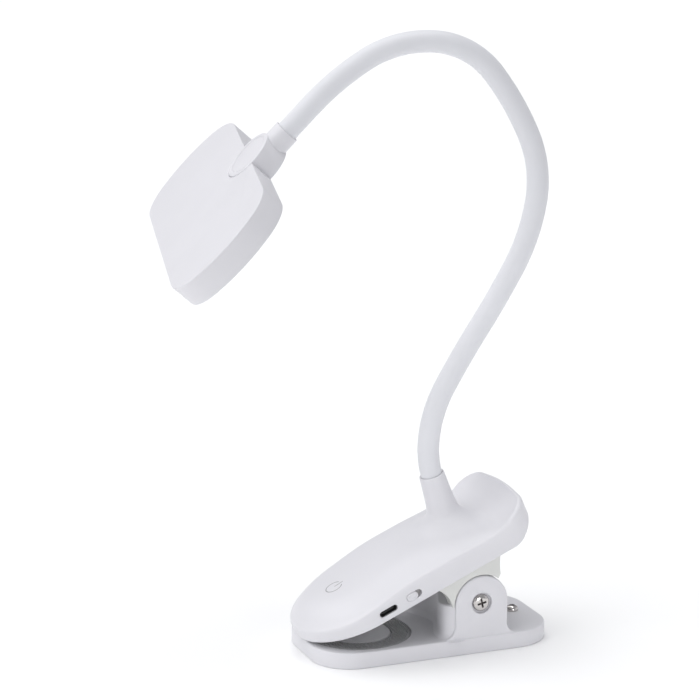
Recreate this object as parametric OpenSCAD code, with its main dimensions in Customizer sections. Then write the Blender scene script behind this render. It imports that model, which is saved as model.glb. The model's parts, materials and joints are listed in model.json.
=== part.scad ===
// Clip-on reading lamp: a spring clip that stands on its own lower jaw, a bendable neck
// and a wide flat lamp head that swivels on a round knuckle.
// The origin is on the underside of the lower jaw, midway along it. -X is the jaw's tip.

/* [Lower jaw] */
// Length of the base plate from tip to heel
base_l = 115; // [112:1:118]
// Width of the base plate
base_w = 59; // [58:0.5:60]
// Thickness of the base plate
base_t = 7.6; // [7.4:0.1:8]
// Thickness of each hinge ear
ear_t = 6; // [5.5:0.25:6.25]
// Radius of the ears' round tops
ear_r = 13; // [12.5:0.25:13]

/* [Hinge] */
// Distance of the hinge pin behind the middle of the plate
pivot_x = 19; // [18:0.5:20]
// Height of the hinge pin above the table
pivot_z = 23.5; // [23:0.25:24.5]
// Slope of the upper jaw when the clip is closed, in degrees
jaw_tilt = 23.5; // [23:0.25:24]
// Diameter of the hinge screw's shank
pin_d = 4; // [3.5:0.25:4]

/* [Upper jaw] */
// Width of the upper jaw
jaw_w = 62; // [61:0.5:63]
// Length of the upper jaw ahead of the hinge line
jaw_front = 78; // [76:1:80]
// Length of the upper jaw behind the hinge line
jaw_rear = 41; // [40:0.5:42]
// Height of the jaw's lower edge above the hinge line
jaw_low = 17.1; // [17:0.1:17.5]
// Height of the flat top above the hinge line
jaw_top = 29; // [28.5:0.25:29.5]
// Height of the thumb rest's rear rim above the hinge line
rim_top = 35.5; // [34.5:0.25:36]

/* [Neck] */
// Outer diameter of the silicone sleeve
tube_d = 10; // [9.5:0.25:10]
// Length of one neck link along its centreline
link_l = 31.5; // [31:0.1:32]
// Direction in which the lamp's neck plane is turned about the vertical, in degrees
neck_turn = -20; // [-30:1:30]
// Slope of the neck where it leaves the collar, in degrees from the front-to-rear line
collar_slope = 108; // [106:1:110]

/* [Head] */
// Size of the head along the neck's direction
head_l = 58.5; // [56:0.5:60]
// Size of the head across the neck's direction
head_w = 140; // [136:1:144]
// Thickness of the head
head_t = 12; // [12:0.25:13]
// Roll of the head about the neck's end, in degrees
head_roll = 10.5; // [0:0.5:20]
// Diameter of the round swivel knuckle
knuckle_d = 24.4; // [24:0.2:25]

/* [Hidden] */
$fn = 48;

white = [0.93, 0.93, 0.95];
warm_white = [0.92, 0.93, 0.90];
rubber_grey = [0.36, 0.36, 0.38];
steel = [0.72, 0.72, 0.74];
board_green = [0.10, 0.35, 0.20];

fit = 0.05;            // radial clearance of a running fit
wall = 1.8;            // wall thickness of the plastic shells
plate_front_r = 18.5;  // base plate corner radii
plate_heel_r = 19.5;
ear_out = base_w / 2 - 0.2;
ear_mid = ear_out - ear_t / 2;
ear_in = ear_out - ear_t;

// ---------- lower jaw ----------

module base_outline(inset = 0) {
    hull() for (s = [-1, 1]) {
        translate([-base_l / 2 + plate_front_r, s * (base_w / 2 - plate_front_r)])
            circle(plate_front_r - inset);
        translate([base_l / 2 - plate_heel_r, s * (base_w / 2 - plate_heel_r)])
            circle(plate_heel_r - inset);
    }
}

front_foot_r = 6;      // fillets where an ear meets the plate
rear_foot_r = 5;
foot_z = base_t - 0.5;

module ear_foot(side, r) {
    translate([side * (ear_r + r / 2), foot_z + r / 2]) difference() {
        square(r, center = true);
        translate([side * r / 2, r / 2]) circle(r);
    }
}

// One ear seen from the side, with its origin below the hinge pin
module ear_outline() {
    translate([0, pivot_z]) circle(ear_r);
    translate([-ear_r, foot_z]) square([2 * ear_r, pivot_z - foot_z]);
    ear_foot(-1, front_foot_r);
    ear_foot(1, rear_foot_r);
}

// Puts a flat shape drawn in X and Z at a distance y from the middle plane
module slab(y, thickness) {
    translate([0, y + thickness / 2, 0]) rotate([90, 0, 0]) linear_extrude(thickness) children();
}

pad_x = -31;           // middle of the grip pads
pad_r = 24;
pad_stretch = 2;
pad_band = 8.5;
pad_t = 1.5;

// The oval of a grip pad, and of the island inside it when shrunk by the band's width
module pad_oval(grow = 0) {
    hull() for (s = [-1, 1]) translate([pad_x, s * pad_stretch]) circle(pad_r + grow);
}

module pad_ring(grow = 0) {
    difference() {
        pad_oval(grow);
        pad_oval(-pad_band - grow);
    }
}

wall_r = 34.2;         // radius of the curved wall behind the mouth
wall_x = 10.2;         // its rear face on the middle plane
wall_front = 1.3;      // how far forward its ends reach
wall_t = 2.2;
wall_top = 24;
weight_l = 66;
weight_w = 40;
weight_t = 3.6;
weight_x = -6;
cover_t = 1.6;
cover_gap = 0.15;
heel_screw_x = 47.5;
base_screw_xy = [[-40, 23], [-40, -23], [38, 23], [38, -23]];
small_hole_r = 1.05;
small_screw_r = 1;
small_head_r = 1.9;

module base_frame() {
    color(white) difference() {
        union() {
            linear_extrude(base_t) base_outline();
            for (s = [-1, 1]) translate([pivot_x, 0, 0]) slab(s * ear_mid, ear_t) ear_outline();
            intersection() {
                translate([wall_x - wall_r, 0, base_t - 1]) difference() {
                    cylinder(r = wall_r, h = wall_top - base_t + 1);
                    cylinder(r = wall_r - wall_t, h = wall_top);
                }
                translate([wall_front, -ear_in - 0.5, 0])
                    cube([wall_x, 2 * ear_in + 1, wall_top + 1]);
            }
        }
        // hinge bore, screw head recess and nut pocket
        translate([pivot_x, 0, pivot_z]) rotate([90, 0, 0]) {
            cylinder(r = pin_d / 2 + fit, h = base_w + 2, center = true);
            translate([0, 0, ear_out - 1.7]) cylinder(r = 5, h = 3);
            translate([0, 0, -ear_out - 1]) cylinder(r = 4.35, h = 4.4, $fn = 6);
        }
        // groove that holds the grip pad, around an oval island
        translate([0, 0, base_t - pad_t]) linear_extrude(pad_t + 1) pad_ring(0.1);
        // pockets under the plate: the weight and its cover
        translate([weight_x, 0, cover_t]) linear_extrude(weight_t + 0.2)
            square([weight_l + 0.4, weight_w + 0.4], center = true);
        translate([0, 0, -1]) linear_extrude(cover_t + 1) base_outline(3.5);
        for (p = base_screw_xy) translate([p.x, p.y, 0]) cylinder(r = small_hole_r, h = 5.4);
        translate([heel_screw_x, 0, cover_t + 1]) cylinder(r = 1.55, h = base_t);
    }
}

module base_weight() {
    color(steel) translate([weight_x, 0, cover_t]) linear_extrude(weight_t)
        square([weight_l, weight_w], center = true);
}

module base_cover() {
    color(white) difference() {
        union() {
            linear_extrude(cover_t) base_outline(3.5 + cover_gap);
            translate([heel_screw_x, 0, 0]) cylinder(r = 1.5, h = cover_t);
        }
        for (p = base_screw_xy) translate([p.x, p.y, -1]) {
            cylinder(r = small_hole_r, h = cover_t + 2);
            cylinder(r = small_head_r + 0.1, h = 1.9);
        }
    }
}

// A small screw with its head down, its head's face at z = 0
module small_screw(length) {
    difference() {
        union() {
            cylinder(r = small_head_r, h = 0.8);
            cylinder(r = small_screw_r, h = length);
        }
        translate([0, 0, -0.1]) cross_recess(1.1, 0.5);
    }
}

module cross_recess(reach, depth) {
    for (a = [0, 90]) rotate([0, 0, a]) translate([0, 0, depth / 2 + 0.05])
        cube([2 * reach, reach * 0.45, depth + 0.1], center = true);
}

module base_cover_screws() {
    color(steel) for (p = base_screw_xy) translate([p.x, p.y, 0.05]) small_screw(4.8);
}

heel_head_r = 3;
heel_head_h = 2.6;

module heel_screw() {
    color(steel) translate([heel_screw_x, 0, base_t]) pan_head(heel_head_r, heel_head_h, 1.5, 4.5);
}

// Pan head screw standing on z = 0, shank downwards
module pan_head(head_r, head_h, shank_r, shank_l) {
    dome = (head_r * head_r + head_h * head_h) / (2 * head_h);
    difference() {
        union() {
            intersection() {
                translate([0, 0, head_h - dome * 1.05]) sphere(dome * 1.05, $fn = 64);
                cylinder(r = head_r, h = head_h);
            }
            translate([0, 0, -shank_l]) cylinder(r = shank_r, h = shank_l + 0.1);
        }
        translate([0, 0, head_h - 0.9]) cross_recess(head_r * 0.55, 0.95);
    }
}

module lower_grip_pad() {
    color(rubber_grey) translate([0, 0, base_t - pad_t]) linear_extrude(pad_t) pad_ring();
}

module hinge_screw() {
    color(steel) translate([pivot_x, 0, pivot_z]) rotate([90, 0, 0])
        translate([0, 0, ear_out - 1.7]) pan_head(4, 1.6, pin_d / 2, 2 * ear_out - 3.4);
}

module hinge_nut() {
    color(steel) translate([pivot_x, 0, pivot_z]) rotate([90, 0, 0])
        translate([0, 0, -ear_out + 0.5]) difference() {
            cylinder(r = 4.2, h = 2.8, $fn = 6);
            translate([0, 0, -1]) cylinder(r = pin_d / 2, h = 5);
        }
}

coil_r = 5.6;
wire_r = 0.9;
coil_turns = 5;
leg_l = 15;

// Spring wire wound round the hinge screw, with one leg on the plate and one up the jaw
module torsion_spring() {
    color(steel) translate([pivot_x, 0, pivot_z]) rotate([90, 0, 0]) {
        for (k = [0 : coil_turns - 1]) translate([0, 0, (k - (coil_turns - 1) / 2) * wire_r * 1.8])
            rotate_extrude() translate([coil_r, 0]) circle(wire_r, $fn = 24);
        for (s = [-1, 1]) translate([0, 0, s * (coil_turns - 1) / 2 * wire_r * 1.8])
            rotate([0, 0, s > 0 ? -8 : 24]) translate([0, s > 0 ? -coil_r : coil_r, 0])
                rotate([0, 90, 0]) cylinder(r = wire_r, h = s > 0 ? leg_l + 4 : leg_l - 4);
    }
}

// ---------- upper jaw: drawn level, with its origin on the hinge line ----------

module jaw_place() {
    translate([pivot_x, 0, pivot_z]) rotate([0, -jaw_tilt, 0]) children();
}

nose_r = jaw_w / 2;
heel_r = 14;
slope_start = 17;      // where the thumb rest starts to rise
seam_u = 9.9;          // middle of the collar's rim, in the jaw's frame
seam_w = 55.6;
collar_lean = 90 - (collar_slope - jaw_tilt);
collar_r = 5.85;
roof_t = 2.4;

module jaw_outline(inset = 0) {
    hull() {
        translate([-jaw_front + nose_r, 0]) circle(nose_r - inset, $fn = 96);
        for (s = [-1, 1]) translate([jaw_rear - heel_r, s * (nose_r - heel_r)])
            circle(heel_r - inset);
    }
}

nose_low = 20.5;       // height of the nose's upper edge
nose_len = 34;         // length over which the nose thins

// Height of the upper surface along the jaw
function roof(u) =
    u < -jaw_front + nose_len
        ? nose_low + (jaw_top - nose_low) * sin(90 * (u + jaw_front) / nose_len)
        : u < slope_start ? jaw_top : jaw_top + (rim_top - jaw_top) *
            pow((u - slope_start) / (jaw_rear - slope_start), 1.6);

module jaw_profile(lower = 0) {
    steps = 14;
    nose = [for (k = [0 : steps]) -jaw_front + nose_len * k / steps];
    rise = [for (k = [0 : steps]) slope_start + (jaw_rear - slope_start) * k / steps];
    tops = [for (u = concat(nose, rise)) [u, roof(u) - lower]];
    polygon(concat([[jaw_rear, jaw_low - 1], [-jaw_front, jaw_low - 1]], tops));
}

module jaw_solid(inset = 0, lower = 0) {
    intersection() {
        translate([0, 0, jaw_low]) linear_extrude(30) jaw_outline(inset);
        slab(0, jaw_w + 2) jaw_profile(lower);
    }
}

module collar_place() {
    translate([seam_u, 0, seam_w]) rotate([0, collar_lean, 0]) children();
}

collar_foot = 27;      // distance from the rim down to the roof
flare_r = 9;

// The collar's outside: a slim cone that flares into the roof
module collar_solid() {
    cone_end = collar_foot - flare_r;
    cone_r = collar_r + 2.2;
    flare = [for (a = [0 : 9 : 90]) [cone_r + flare_r * (1 - cos(a)), -cone_end - flare_r * sin(a)]];
    rotate_extrude($fn = 64)
        polygon(concat([[0, 0], [collar_r, 0], [collar_r + 0.9, -9]], flare, [[0, -collar_foot]]));
}

stem_r = 4;
port_u = -41.8;
port_w = 21.2;
port_l = 9.2;
port_h = 2.9;
slot_u = -28.1;
slot_w = 21.7;
slot_l = 8;
slot_h = 3.9;
symbol_u = -53.6;
symbol_r = 3.9;
symbol_line = 0.45;
symbol_depth = 0.5;
jaw_screw_uy = [[-66, 12], [-66, -12], [24, 22], [24, -22]];
boss_r = 3;
dish_u = 28;           // deepest point of the thumb dish
dish_w = 29.6;
dish_r = 40;
dish_lean = 15;
cover_w = jaw_low + cover_t;

// A slot with round ends through the near side wall of the jaw
module side_slot(u, w, length, height) {
    translate([u, -jaw_w / 2 + 2.5, w]) rotate([90, 0, 0]) linear_extrude(4) hull()
        for (s = [-1, 1]) translate([s * (length - height) / 2, 0]) circle(height / 2);
}

module power_mark(grow = 0) {
    difference() {
        circle(symbol_r + symbol_line / 2 + grow);
        circle(symbol_r - symbol_line / 2 - grow);
        translate([symbol_r / 2 + 1, 0]) square([symbol_r + 2, 3.2 - 2 * grow], center = true);
    }
    translate([symbol_r - 0.3, 0]) square([3.8 + 2 * grow, symbol_line + 2 * grow], center = true);
}

module upper_housing() {
    color(white) jaw_place() difference() {
        union() {
            difference() {
                jaw_solid();
                intersection() {
                    difference() {
                        translate([0, 0, -0.1]) jaw_solid(wall, roof_t);
                        for (p = jaw_screw_uy) translate([p.x, p.y, cover_w + 0.1])
                            cylinder(r = boss_r, h = 12);
                    }
                    translate([-jaw_front, -jaw_w / 2, 0])
                        cube([jaw_front + jaw_rear, jaw_w, jaw_top - roof_t]);
                }
                // thumb dish
                translate([dish_u - dish_r * sin(dish_lean), 0, dish_w + dish_r * cos(dish_lean)])
                    sphere(dish_r, $fn = 96);
            }
            collar_place() collar_solid();
        }
        collar_place() translate([0, 0, -45]) cylinder(r = stem_r + fit, h = 46);
        side_slot(port_u, port_w, port_l, port_h);
        side_slot(slot_u, slot_w, slot_l, slot_h);
        for (p = jaw_screw_uy) translate([p.x, p.y, jaw_low]) cylinder(r = small_hole_r, h = 6.5);
        translate([symbol_u, 0, jaw_top - symbol_depth - 0.35]) linear_extrude(3) power_mark(0.02);
    }
}

panel_gap = 0.5;       // gap between an ear's round top and the jaw around it
upper_pad_shift = 7;   // how far the upper pad sits ahead of the lower one, along the jaw
lug_r = 8;
lug_out = ear_in - 0.4;
lug_t = 4.6;

// The skirt of the jaw cover beside the hinge, with a round cut over the ear
module skirt_outline() {
    difference() {
        polygon([[-16.5, jaw_low + 0.2], [-15.2, 14.7], [-14.1, 12.4], [-13.4, 10.2], [-13.1, 7.2],
            [-13.1, 5.3], [0, 0], [13.1, 6.1], [15, 11.5], [17.2, jaw_low + 0.2]]);
        circle(ear_r + panel_gap, $fn = 96);
    }
}

module lug_outline() {
    circle(lug_r);
    polygon([[-lug_r, 0], [lug_r, 0], [lug_r + 3, jaw_low + 0.2], [-lug_r - 3, jaw_low + 0.2]]);
}

module jaw_cover() {
    color(warm_white) jaw_place() difference() {
        union() {
            translate([0, 0, jaw_low]) linear_extrude(cover_t) jaw_outline(wall + cover_gap);
            for (s = [-1, 1]) {
                slab(s * ear_mid, ear_t) skirt_outline();
                slab(s * (lug_out - lug_t / 2), lug_t) lug_outline();
            }
        }
        rotate([90, 0, 0]) cylinder(r = pin_d / 2 + fit, h = base_w, center = true);
        translate([-upper_pad_shift, 0, jaw_low - 1]) linear_extrude(1.6) pad_ring(0.1);
        for (p = jaw_screw_uy) translate([p.x, p.y, jaw_low - 1]) {
            cylinder(r = small_hole_r, h = 5);
            cylinder(r = small_head_r + 0.1, h = 1.9);
        }
    }
}

module jaw_cover_screws() {
    color(steel) jaw_place() for (p = jaw_screw_uy) translate([p.x, p.y, jaw_low + 0.05])
        small_screw(6);
}

module upper_grip_pad() {
    color(rubber_grey) jaw_place() translate([-upper_pad_shift, 0, jaw_low - 0.9])
        linear_extrude(pad_t) pad_ring();
}

module battery_pack() {
    color("silver") jaw_place() translate([-24, 5, cover_w + 0.2]) linear_extrude(6.6) hull()
        for (x = [-19, 19], y = [-17, 17]) translate([x, y]) circle(2);
}

board_w = cover_w + 0.05;
board_t = 0.8;
board_y = -jaw_w / 2 + wall + 0.3;

module main_board() {
    color(board_green) jaw_place() translate([-48, board_y, board_w]) cube([30, 10.4, board_t]);
}

socket_l = 9;
socket_h = 3.2;

module socket_oval(r) {
    hull() for (s = [-1, 1]) translate([s * (socket_l - socket_h) / 2, 0]) circle(r);
}

module usb_c_socket() {
    color(steel) jaw_place() translate([port_u, board_y - 0.2, port_w]) rotate([-90, 0, 0])
        difference() {
            linear_extrude(7.4) socket_oval(socket_h / 2);
            translate([0, 0, -1]) linear_extrude(7.2) difference() {
                socket_oval(socket_h / 2 - 0.3);
                translate([0, -0.35]) square([6.4, 0.7], center = true);
            }
        }
}

knob_l = 5.3;
knob_h = 3.2;
knob_travel = 2;
knob_stem = 1.2;

module slide_switch() {
    color(steel) jaw_place() translate([slot_u, board_y + 0.3, board_w + board_t]) difference() {
        translate([-5, 0, 0]) cube([10, 4.2, 3.9]);
        translate([-3.9, -1, 0.9]) cube([7.8, 3.4, 2.2]);
    }
}

// The sliding thumb piece, at the front end of its slot
module switch_knob() {
    color(white) jaw_place() translate([slot_u - knob_travel / 2, -jaw_w / 2, slot_w])
        rotate([-90, 0, 0]) {
            translate([0, 0, -0.25]) linear_extrude(1.9) hull() for (s = [-1, 1])
                translate([s * (knob_l - knob_h) / 2, 0]) circle(knob_h / 2);
            translate([-knob_stem / 2, -knob_stem / 2, 0]) cube([knob_stem, knob_stem, 4]);
        }
}

module touch_electrode() {
    color("gold") jaw_place() translate([symbol_u, 0, cover_w + 2.2]) difference() {
        cylinder(r = 5.4, h = 0.3);
        translate([0, 0, -1]) cylinder(r = 1.5, h = 3);
    }
}

module power_symbol() {
    color([0.55, 0.55, 0.58]) jaw_place() intersection() {
        translate([symbol_u, 0, jaw_top - symbol_depth - 0.35]) linear_extrude(3) power_mark();
        jaw_solid();
    }
}

nut_drop = 32.8;       // from the collar's rim down to the nut's lower face

module neck_nut() {
    color(steel) jaw_place() collar_place() translate([0, 0, -nut_drop]) difference() {
        cylinder(r = 7, h = 2.6, $fn = 6);
        translate([0, 0, -1]) cylinder(r = stem_r + fit, h = 6);
    }
}

// ---------- neck ----------

stub_l = 11;           // first stretch of neck, fixed in the collar
stub_bend = 90 - collar_slope;
// Resting bend of each link between the ends, in degrees
link_bend = [-27, -4, 4, 18, 32, 14, 50, 36, 14];
links = len(link_bend);
joint_gap = 1.6;       // gap in the sleeve at each joint
ball_r = 2.4;
cup_r = 3.6;
cup_lip = 1;
bore_r = tube_d / 2 - 1;
core_r = bore_r - fit;
core_start = 3.2;      // bare length of a link's core next to a joint
rod_r = 1.4;
plug_t = 1.2;          // solid plugs at both ends of the hollow goose-neck tube
goose_r = 3.6;
goose_bore = 2.2;
end_stub_l = link_l / 2;

function chord(l, bend) = abs(bend) < 0.01 ? l : l * sin(bend / 2) / (bend / 2 * PI / 180);
function along(l, angle) = [l * cos(angle), l * sin(angle)];
function heading(k) = k == 0 ? 90 : heading(k - 1) + link_bend[k - 1];
function joint_at(k) = k == 0 ? [0, 0] : joint_at(k - 1) +
    along(chord(link_l, link_bend[k - 1]), heading(k - 1) + link_bend[k - 1] / 2);

// The collar's rim and the first joint, both on the lamp's middle plane
seam = [pivot_x + seam_u * cos(jaw_tilt) - seam_w * sin(jaw_tilt),
    pivot_z + seam_u * sin(jaw_tilt) + seam_w * cos(jaw_tilt)];
first_joint = seam + along(chord(stub_l, stub_bend), collar_slope + stub_bend / 2);

// Start of the first stretch: X runs along the neck
module stub_place() {
    translate([seam.x, 0, seam.y]) rotate([0, -collar_slope, 0]) children();
}

// Joint k: X runs along the neck, Y is across the neck's plane
module joint_place(k) {
    p = joint_at(k);
    translate([first_joint.x, 0, first_joint.y]) rotate([0, 0, neck_turn])
        translate([p.x, 0, p.y]) rotate([0, -heading(k), 0]) children();
}

// A profile swept along an arc that starts along X and turns towards Z
module sweep(length, bend, from, to) {
    if (abs(bend) < 0.01) {
        translate([from, 0, 0]) rotate([0, 90, 0]) linear_extrude(to - from) children();
    } else {
        turn_r = length / (abs(bend) * PI / 180);
        mirror([0, 0, bend < 0 ? 1 : 0]) translate([0, 0, turn_r]) rotate([90, 90, 0])
            rotate([0, 0, from / length * abs(bend)])
                rotate_extrude(angle = (to - from) / length * abs(bend))
                    translate([turn_r, 0]) children();
    }
}

// The frame at the far end of an arc
module arc_end(length, bend) {
    c = chord(length, bend);
    translate([c * cos(bend / 2), 0, c * sin(bend / 2)]) rotate([0, -bend, 0]) children();
}

module ring(outer, inner) {
    difference() {
        circle(outer);
        circle(inner);
    }
}

module sleeve(length, bend, from, to) {
    color(white) sweep(length, bend, from, to) ring(tube_d / 2, bore_r);
}

// The ball that starts a link, at its joint
module ball_end() {
    rotate([0, 90, 0]) {
        sphere(ball_r);
        cylinder(r = rod_r, h = core_start + plug_t / 2);
    }
}

// The cup that ends a link, round the next joint's ball
module cup_end() {
    rotate([0, 90, 0]) difference() {
        translate([0, 0, -core_start - plug_t / 4])
            cylinder(r = cup_r, h = core_start + plug_t / 4 + cup_lip);
        sphere(ball_r + fit);
        cylinder(r = ball_r - 0.2, h = cup_lip + 1);
    }
}

// A plug at a place along a link's arc
module core_plug(length, bend, place) {
    arc_end(place, bend * place / length) translate([-plug_t / 2, 0, 0]) rotate([0, 90, 0])
        cylinder(r = core_r, h = plug_t);
}

// The hollow tube between two plugs
module goose_tube(length, bend) {
    edge = core_start + plug_t / 2;
    for (place = [edge, length - edge]) core_plug(length, bend, place);
    sweep(length, bend, edge, length - edge) ring(goose_r, goose_bore);
}

module neck_sleeve_0() stub_place() sleeve(stub_l, stub_bend, 0, stub_l - joint_gap / 2);

module neck_sleeve(k) {
    joint_place(k - 1) {
        if (k <= links) sleeve(link_l, link_bend[k - 1], joint_gap / 2, link_l - joint_gap / 2);
        else sleeve(end_stub_l, 0, joint_gap / 2, end_stub_l);
    }
}

stem_l = 34.5;

module neck_core_0() {
    color(steel) stub_place() {
        rotate([0, -90, 0]) cylinder(r = stem_r, h = stem_l);
        sweep(stub_l, stub_bend, 0, stub_l - core_start - plug_t / 2) circle(goose_r);
        core_plug(stub_l, stub_bend, stub_l - core_start - plug_t / 2);
        arc_end(stub_l, stub_bend) cup_end();
    }
}

plug_l = 6;            // how far the neck's core reaches into the knuckle

module neck_core(k) {
    color(steel) joint_place(k - 1) {
        ball_end();
        if (k <= links) {
            goose_tube(link_l, link_bend[k - 1]);
            arc_end(link_l, link_bend[k - 1]) cup_end();
        } else {
            translate([core_start, 0, 0]) rotate([0, 90, 0])
                cylinder(r = core_r, h = end_stub_l - core_start + plug_l);
        }
    }
}

// ---------- head: X runs on from the neck, Z towards the light side ----------

module head_place() {
    joint_place(links) translate([end_stub_l, 0, 0]) rotate([-head_roll, 0, 0]) children();
}

swivel_x = 19.4;       // swivel axis, measured from the neck's end
side_r = 46.2;         // radius of the bulging ends of the head
corner_r = 19;
shell_wall = 1.8;
notch_r = knuckle_d / 2 + 0.35;
tongue_t = 4;
tongue_w = 12;
tongue_gap = 0.3;
swivel_range = 45;

// Half of the head's outline at one end, as a corner circle and a shallow arc
module head_outline(inset = 0) {
    side = side_r - corner_r;
    cx = head_l / 2 - corner_r;
    arc_y = head_w / 2 - side_r;
    corner_y = arc_y + sqrt(side * side - cx * cx);
    flat_x = cx * side_r / side;
    translate([swivel_x + head_l / 2, 0]) hull() for (s = [-1, 1]) {
        for (t = [-1, 1]) translate([t * cx, s * corner_y]) circle(corner_r - inset, $fn = 64);
        intersection() {
            translate([0, s * arc_y]) circle(side_r - inset, $fn = 160);
            translate([0, s * head_w / 2]) square([2 * flat_x, 40], center = true);
        }
    }
}

module knuckle_round(z0, z1, r) {
    translate([swivel_x, 0, z0]) cylinder(r = r, h = z1 - z0, $fn = 72);
}

top_z = -head_t / 2;
low_z = head_t / 2;
pin_r = 2;
ferrule_r = 6;
cap_r = 10.4;
cap_t = 0.7;

module tongue_outline(grow = 0) {
    translate([swivel_x, 0]) circle(tongue_w / 2 + grow);
    translate([swivel_x, -tongue_w / 2 - grow])
        square([notch_r + shell_wall + 1, tongue_w + 2 * grow]);
}

module knuckle_body() {
    color(white) head_place() difference() {
        union() {
            knuckle_round(top_z - 0.2, low_z - 0.1, knuckle_d / 2);
            rotate([0, 90, 0]) cylinder(r = ferrule_r, h = swivel_x - 4);
        }
        rotate([0, 90, 0]) translate([0, 0, -1]) cylinder(r = core_r + fit, h = plug_l + 1.2);
        knuckle_round(top_z - 2, low_z + 1, pin_r + fit);
        knuckle_round(low_z - 1.6, low_z + 1, 4.2);
        // slot in which the head's tongue swings
        translate([0, 0, -tongue_t / 2 - tongue_gap]) linear_extrude(tongue_t + 2 * tongue_gap)
            for (a = [-swivel_range : swivel_range / 4 : swivel_range])
                translate([swivel_x, 0]) rotate(a) translate([-swivel_x, 0])
                    tongue_outline(tongue_gap + 0.1);
        translate([0, 0, -tongue_t / 2 - tongue_gap - 0.6]) linear_extrude(1)
            translate([swivel_x, 0]) circle(5.4);
    }
}

module knuckle_cap() {
    color(white) head_place() difference() {
        knuckle_round(top_z - 0.2 - cap_t, top_z - 0.2, cap_r);
        knuckle_round(top_z - 2, top_z - 0.5, cap_r - 1.4);
    }
}

module swivel_pin() {
    color(steel) head_place() {
        knuckle_round(top_z + 0.4, low_z - 0.4, pin_r);
        knuckle_round(low_z - 1.5, low_z - 0.4, 4);
    }
}

module friction_washer() {
    color(steel) head_place() difference() {
        knuckle_round(-tongue_t / 2 - 0.8, -tongue_t / 2 - 0.05, 5.2);
        knuckle_round(-tongue_t, 0, pin_r + fit);
    }
}

light_start = 17.5;    // where the light panel starts, past the swivel axis
rim_w = 3.2;
lens_t = 1.2;

module light_outline(inset = 0) {
    intersection() {
        head_outline(rim_w + inset);
        translate([swivel_x + light_start + inset, -head_w]) square([head_l, 2 * head_w]);
    }
}

head_screw_xy = [[swivel_x + 11.5, 38], [swivel_x + 11.5, -38], [swivel_x + 10.5, 20.5],
    [swivel_x + 10.5, -20.5]];

module head_shell() {
    color(white) head_place() difference() {
        union() {
            difference() {
                translate([0, 0, top_z]) linear_extrude(head_t) head_outline();
                translate([0, 0, top_z + shell_wall]) linear_extrude(head_t) difference() {
                    head_outline(shell_wall);
                    translate([swivel_x, 0]) circle(notch_r + shell_wall);
                    for (p = head_screw_xy) translate(p) circle(2.6);
                }
                knuckle_round(top_z - 1, low_z + 1, notch_r);
                for (p = head_screw_xy) translate([p.x, p.y, low_z - shell_wall - 0.1])
                    cylinder(r = 3, h = 4);
            }
            translate([0, 0, -tongue_t / 2]) linear_extrude(tongue_t) tongue_outline();
        }
        knuckle_round(-tongue_t, tongue_t, pin_r + fit);
        for (p = head_screw_xy) translate([p.x, p.y, -2]) cylinder(r = small_hole_r, h = 8);
    }
}

// Flat frame that closes the light side around the diffuser
module head_bezel() {
    color(white) head_place() difference() {
        translate([0, 0, low_z - shell_wall]) linear_extrude(shell_wall) difference() {
            head_outline(shell_wall + 0.1);
            light_outline(1);
            translate([swivel_x, 0]) circle(notch_r + shell_wall + 0.1);
        }
        for (p = head_screw_xy) translate([p.x, p.y, low_z - 3]) cylinder(r = small_hole_r, h = 6);
        for (p = head_screw_xy) translate([p.x, p.y, low_z - 0.9]) cylinder(r = 2, h = 2);
        translate([0, 0, low_z - 0.8]) linear_extrude(1) light_outline(-0.1);
    }
}

module diffuser() {
    color([0.96, 0.96, 0.94]) head_place() {
        translate([0, 0, low_z - 0.75]) linear_extrude(0.7) light_outline();
        translate([0, 0, low_z - shell_wall - 0.4]) linear_extrude(1.2) light_outline(1.1);
    }
}

module light_guide() {
    color([0.85, 0.9, 0.95, 0.5]) head_place() translate([0, 0, low_z - shell_wall - 3])
        linear_extrude(2.4) light_outline(2.6);
}

module reflector_sheet() {
    color("white") head_place() translate([0, 0, low_z - shell_wall - 3.5]) linear_extrude(0.4)
        light_outline(2.6);
}

led_pitch = 6;
led_half_count = 8;

module led_strip() {
    color([0.95, 0.95, 0.85]) head_place() translate([swivel_x + light_start - 0.9, 0, 0]) {
        translate([0, -52, low_z - shell_wall - 3.4]) cube([0.8, 104, 2.9]);
        for (k = [-led_half_count : led_half_count])
            translate([0.7, k * led_pitch - 1.4, low_z - shell_wall - 2.8]) cube([0.9, 2.8, 1.6]);
    }
}

module head_screws() {
    color(steel) head_place() for (p = head_screw_xy) translate([p.x, p.y, low_z - 0.1])
        rotate([180, 0, 0]) small_screw(6);
}

// ---------- nodes ----------

base_frame();
base_weight();
base_cover();
base_cover_screws();
heel_screw();
lower_grip_pad();
hinge_screw();
hinge_nut();
torsion_spring();
upper_housing();
jaw_cover();
jaw_cover_screws();
upper_grip_pad();
battery_pack();
main_board();
usb_c_socket();
slide_switch();
touch_electrode();
power_symbol();
neck_nut();
switch_knob();
neck_sleeve_0();
for (k = [1 : links + 1]) neck_sleeve(k);
neck_core_0();
for (k = [1 : links + 1]) neck_core(k);
knuckle_body();
knuckle_cap();
swivel_pin();
friction_washer();
head_shell();
head_bezel();
diffuser();
light_guide();
reflector_sheet();
led_strip();
head_screws();
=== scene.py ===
import json
import math

import bmesh
import bpy
import numpy as np
from mathutils import Matrix, Vector


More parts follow.
